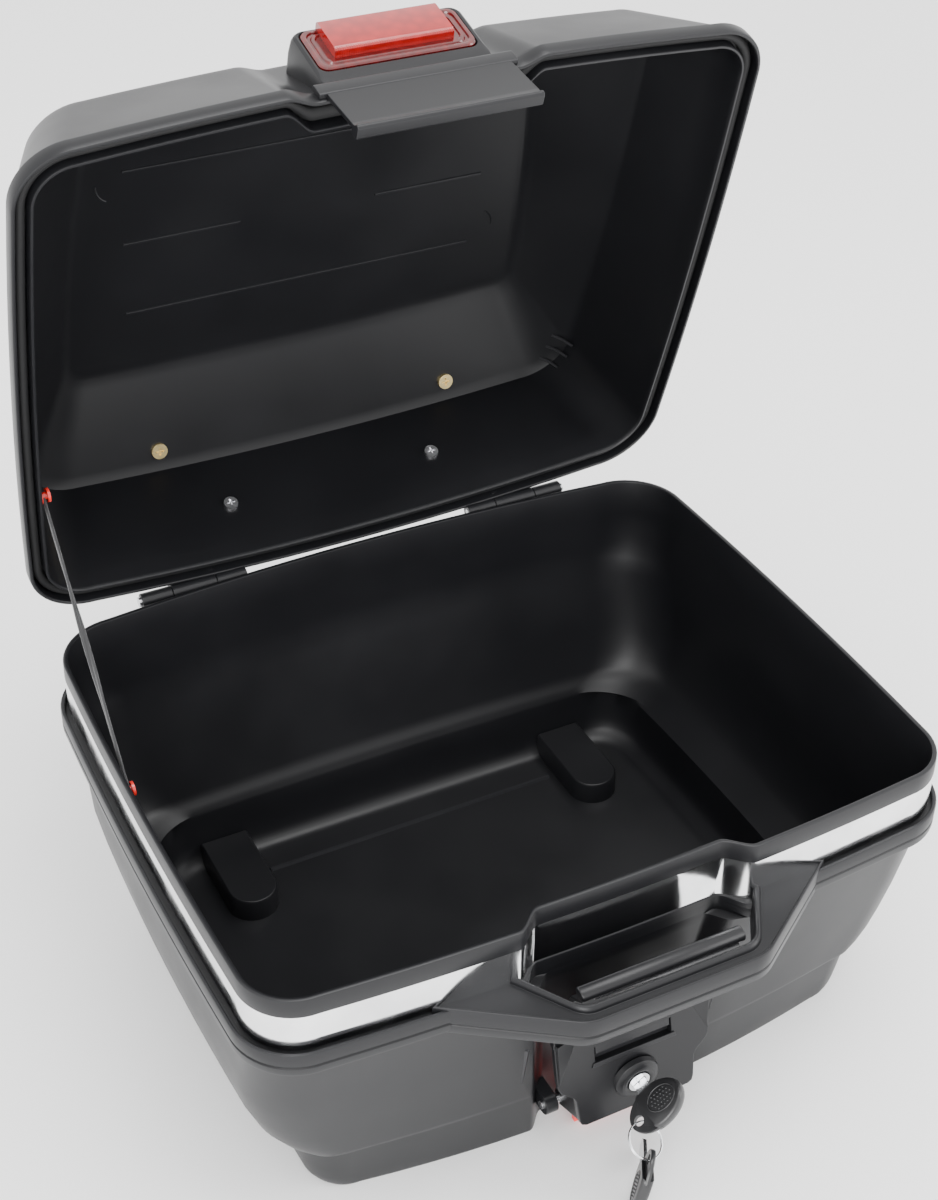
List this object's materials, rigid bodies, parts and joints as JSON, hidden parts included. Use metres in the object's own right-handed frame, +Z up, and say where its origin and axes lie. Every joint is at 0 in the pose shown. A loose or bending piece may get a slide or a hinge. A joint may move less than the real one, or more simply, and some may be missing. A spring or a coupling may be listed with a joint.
{
  "type": "motorcycle top case",
  "caption": "Rounded lockable motorcycle top case: moulded tub, domed lid on rear hinges, chrome trim, keyed front latch, lid strap, tail reflector and backrest.",
  "frame": {"origin": "centre of the flat underside", "axes": "+Z up; the latch side faces -Y, the hinges are at +Y, +X to the right as seen from the latch side"},
  "size_m": [0.425, 0.4985, 0.5259],
  "materials": {
    "shell_plastic": "fine-grained satin moulded plastic, near-black",
    "latch_plastic": "satin moulded plastic, dark grey",
    "chrome_trim": "mirror chrome",
    "steel": "zinc-plated steel",
    "gold_screw": "yellow zinc-plated steel",
    "lock_metal": "satin nickel",
    "key_metal": "nickel-plated steel",
    "key_plastic": "satin black grip plastic",
    "red_plastic": "red moulded plastic",
    "red_lens": "clear red prismatic lens",
    "dark_red_lens": "deep red reflector lens",
    "seal_rubber": "soft black foam rubber",
    "pad_cover": "grained black vinyl",
    "strap_cord": "dark grey flat cord"
  },
  "bodies": {
    "base": {"base_shell": "shell_plastic", "chrome_band": "chrome_trim", "hinge_pins": "steel", "latch_axle": "steel", "latch_spring": "steel", "strap_anchor_base": "red_plastic", "lid_strap": "strap_cord", "release_spring": "steel"},
    "lid": {"lid_shell": "shell_plastic", "lid_seal": "seal_rubber", "reflector_base": "dark_red_lens", "reflector_lens": "red_lens", "backrest_carrier": "latch_plastic", "backrest_pad": "pad_cover", "upper_screws": "gold_screw", "lower_screws": "steel", "strap_anchor_lid": "red_plastic"},
    "latch": {"latch_lever": "latch_plastic", "lock_bezel": "latch_plastic", "lock_nut": "steel"},
    "lock_barrel": {"lock_cylinder": "lock_metal", "lock_cam": "steel", "cam_screw": "steel"},
    "key": {"key_blade": "key_metal", "key_head": "key_plastic"},
    "ring": {"key_ring": "key_metal"},
    "spare_key": {"spare_key_blade": "key_metal", "spare_key_head": "key_plastic"},
    "release": {"release_lever": "red_plastic"}
  },
  "joints": [
    {"name": "lid_hinge", "type": "hinge", "parent": "base", "child": "lid", "pos_m": [0, 0.174, 0.176], "axis": [1, 0, 0], "range_deg": [0, 74.7], "deforming": ["lid_strap"]},
    {"name": "latch_pivot", "type": "hinge", "parent": "base", "child": "latch", "pos_m": [0, -0.158, 0.027], "axis": [-1, 0, 0], "range_deg": [0, 5], "stiffness_Nm_per_rad": 0.8, "springref_deg": -5.73},
    {"name": "lock_turn", "type": "hinge", "parent": "latch", "child": "lock_barrel", "pos_m": [0, -0.17, 0.0475], "axis": [0, -1, 0], "range_deg": [0, 52]},
    {"name": "key_withdraw", "type": "slide", "parent": "lock_barrel", "child": "key", "axis": [0, -1, 0], "range_m": [0, 0.03]},
    {"name": "ring_swing", "type": "hinge", "parent": "key", "child": "ring", "pos_m": [-0.00969, -0.2, 0.03993], "axis": [-0.9579, 0, 0.287], "range_deg": [-20, 8]},
    {"name": "spare_key_swing", "type": "hinge", "parent": "ring", "child": "spare_key", "pos_m": [-0.01275, -0.2174, 0.02973], "axis": [-0.9579, 0, 0.287], "range_deg": [-15, 15]},
    {"name": "release_slide", "type": "slide", "parent": "base", "child": "release", "axis": [0, -1, 0], "range_m": [0, 0.008], "stiffness_N_per_m": 300, "springref_m": -0.004}
  ]
}
